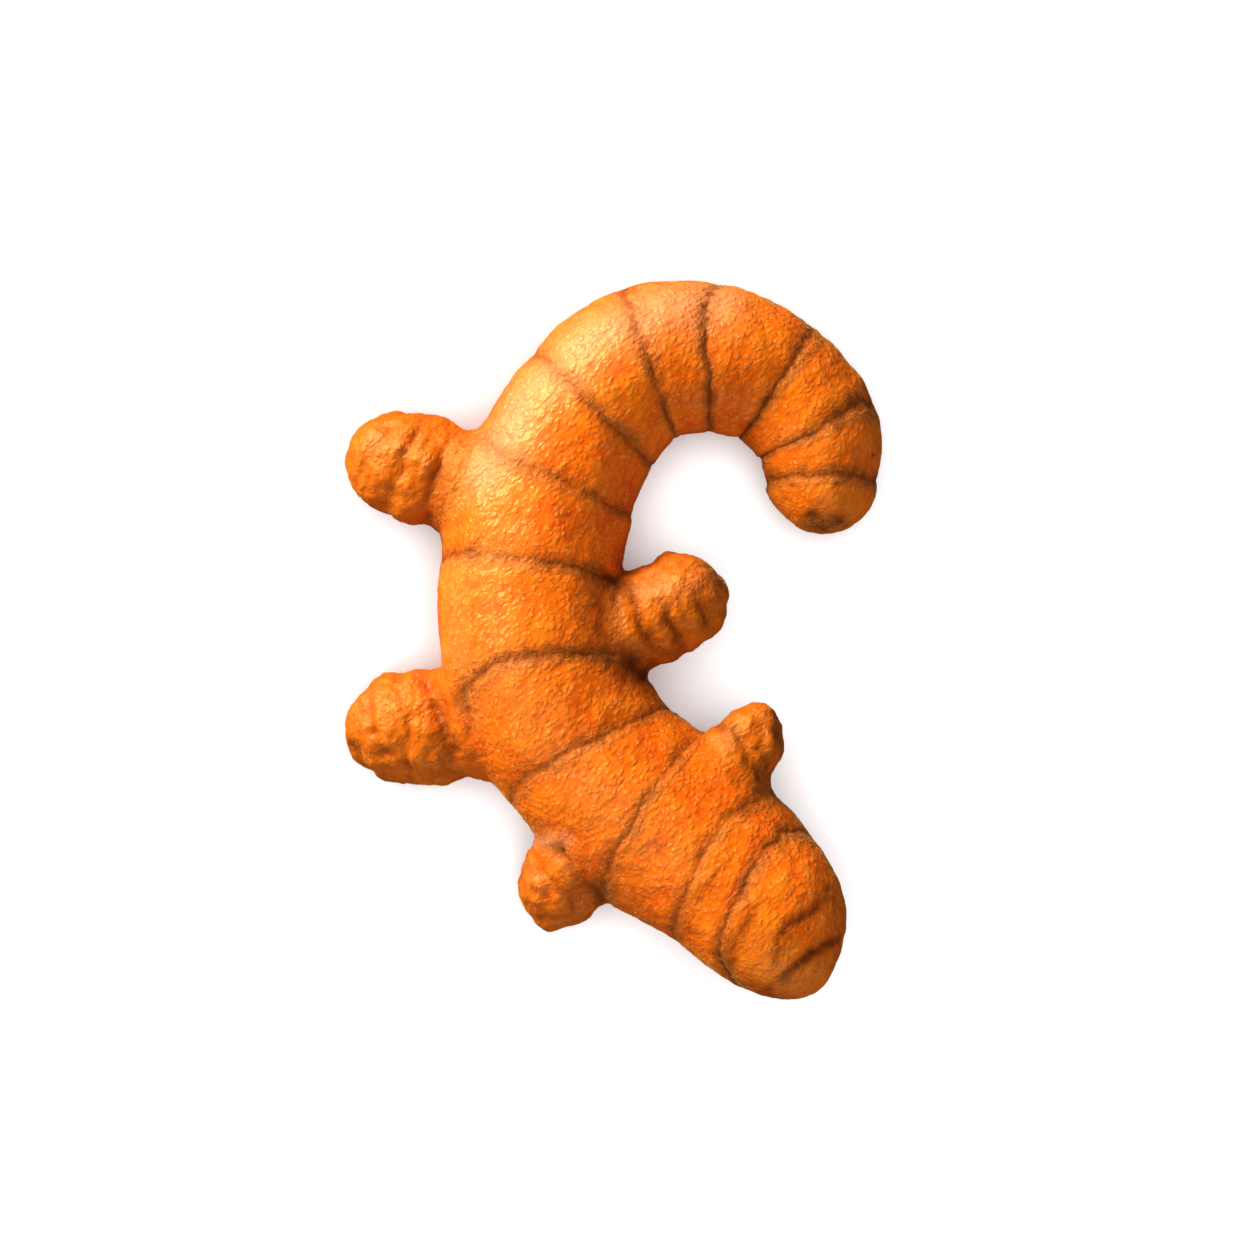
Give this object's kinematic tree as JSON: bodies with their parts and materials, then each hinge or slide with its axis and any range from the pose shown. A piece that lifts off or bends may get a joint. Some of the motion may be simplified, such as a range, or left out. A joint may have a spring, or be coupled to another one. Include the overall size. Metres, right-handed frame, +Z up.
{
  "type": "turmeric root",
  "caption": "Fresh turmeric rhizome lying flat: a plump ringed limb hooked at one end, with stubby ringed buds along its sides.",
  "frame": {"origin": "centre of the footprint's box, on the surface that the rhizome rests on", "axes": "+Z up from the surface; +Y along the greatest length, from the blunt old end towards the hook; +X towards the open side of the hook"},
  "size_m": [0.0676, 0.0894, 0.0229],
  "materials": {
    "turmeric_skin": "satin, finely wrinkled fibrous skin with darker leaf-scar rings"
  },
  "bodies": {
    "root": {"turmeric_rhizome": "turmeric_skin"}
  },
  "joints": []
}
